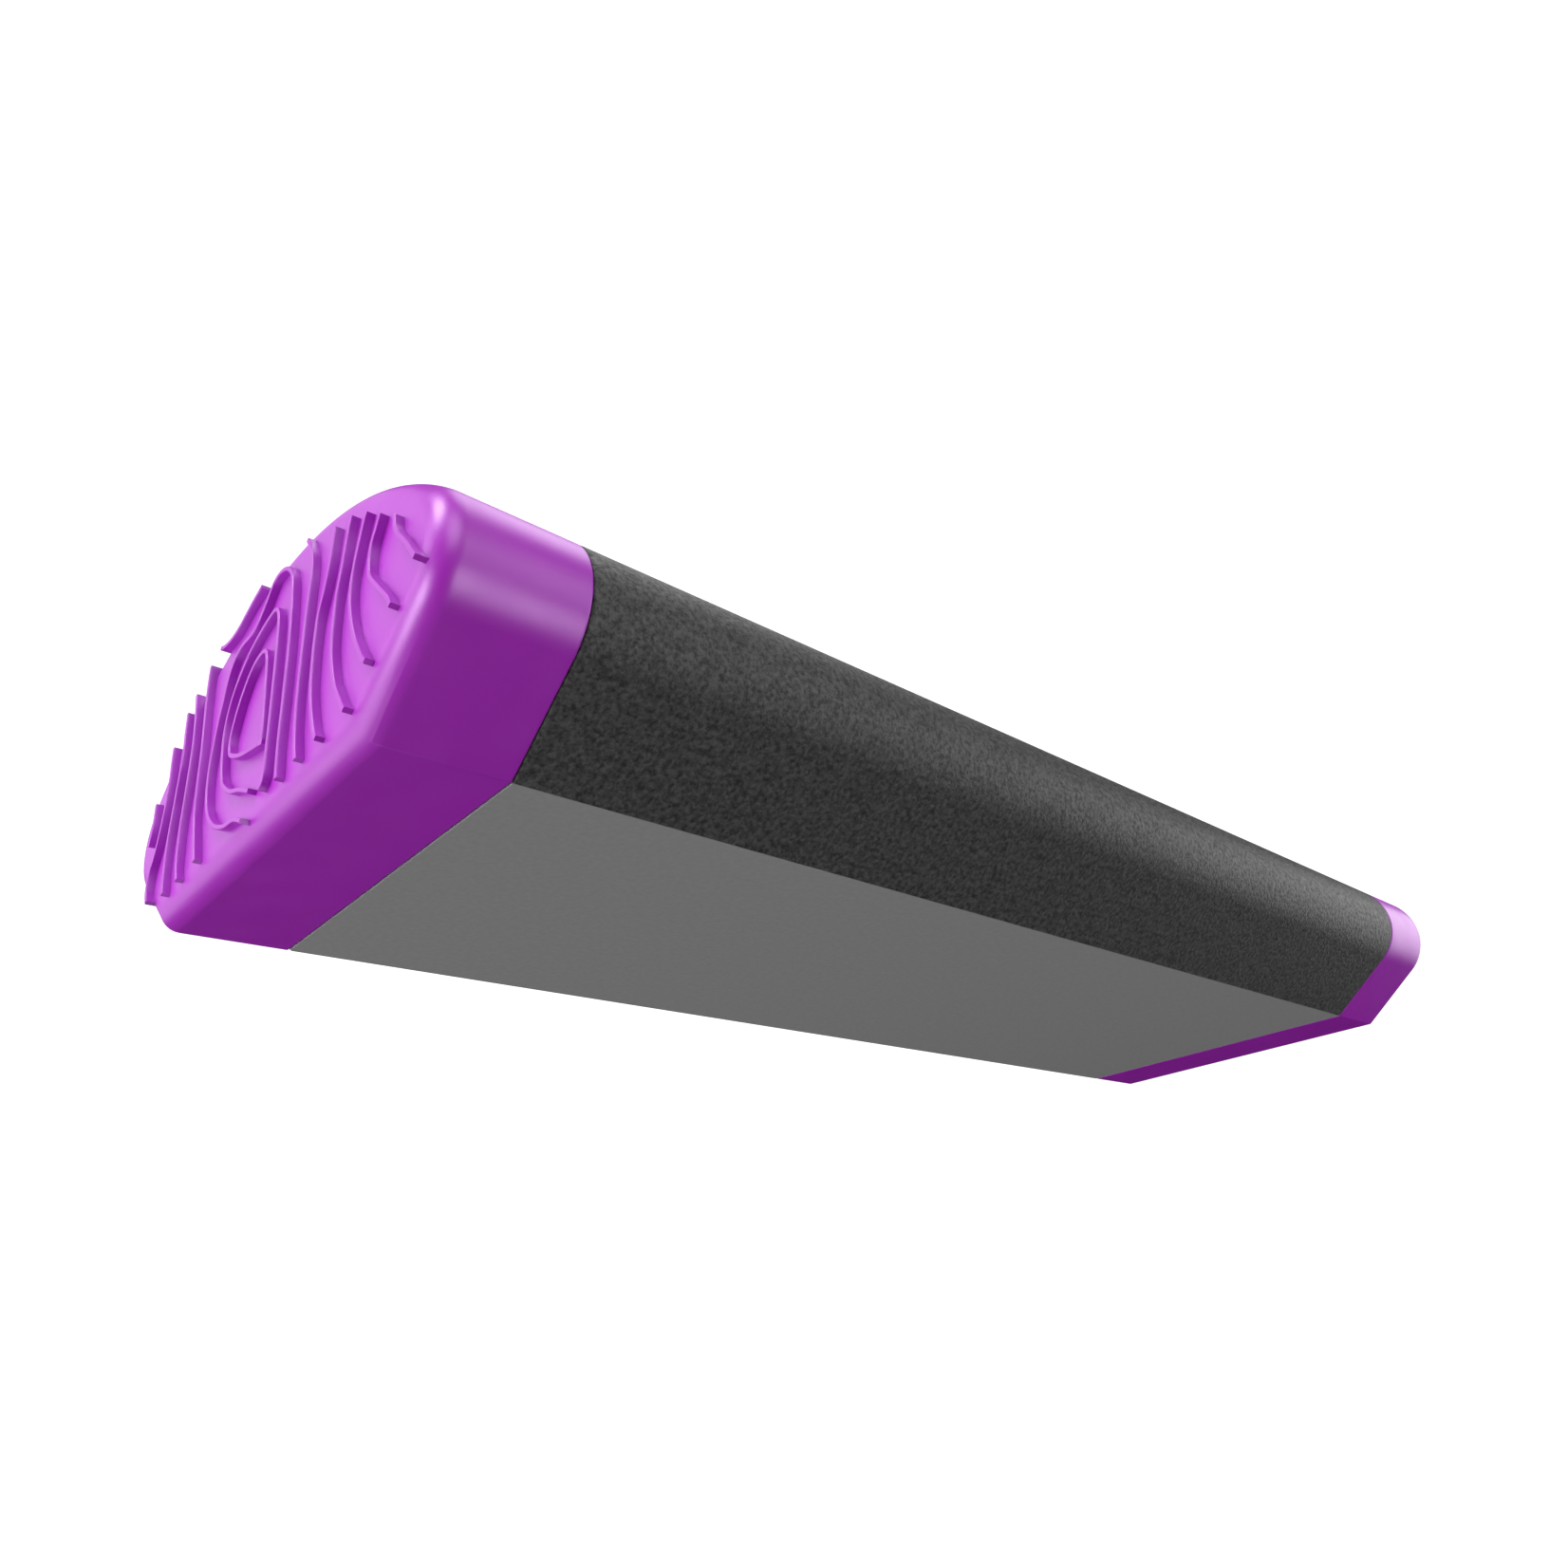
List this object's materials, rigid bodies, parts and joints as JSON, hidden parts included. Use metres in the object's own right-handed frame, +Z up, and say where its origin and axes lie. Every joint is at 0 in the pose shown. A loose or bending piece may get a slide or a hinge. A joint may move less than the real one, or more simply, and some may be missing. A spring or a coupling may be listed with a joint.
{
  "type": "door wedge",
  "caption": "Two-way door wedge: a crowned bar with flared sides, a rubber grip skin, a flat base pad and moulded end caps with contour relief.",
  "frame": {"origin": "on the floor, under the middle of the bar's flat underside", "axes": "+X along the bar from the left cap to the right cap, +Y across the bar, +Z up from the floor to the crown"},
  "size_m": [0.15, 0.0596, 0.0258],
  "materials": {
    "cap_plastic": "satin",
    "grip_rubber": "fine grained",
    "pad_rubber": "matte",
    "core_plastic": "matte",
    "bonding_film": "satin",
    "screw_steel": "zinc plated"
  },
  "bodies": {
    "root": {"core_profile": "core_plastic", "sleeve_film": "bonding_film", "grip_sleeve": "grip_rubber", "pad_film": "bonding_film", "base_pad": "pad_rubber", "end_cap_left": "cap_plastic", "end_cap_right": "cap_plastic", "cap_screws": "screw_steel"}
  },
  "joints": []
}
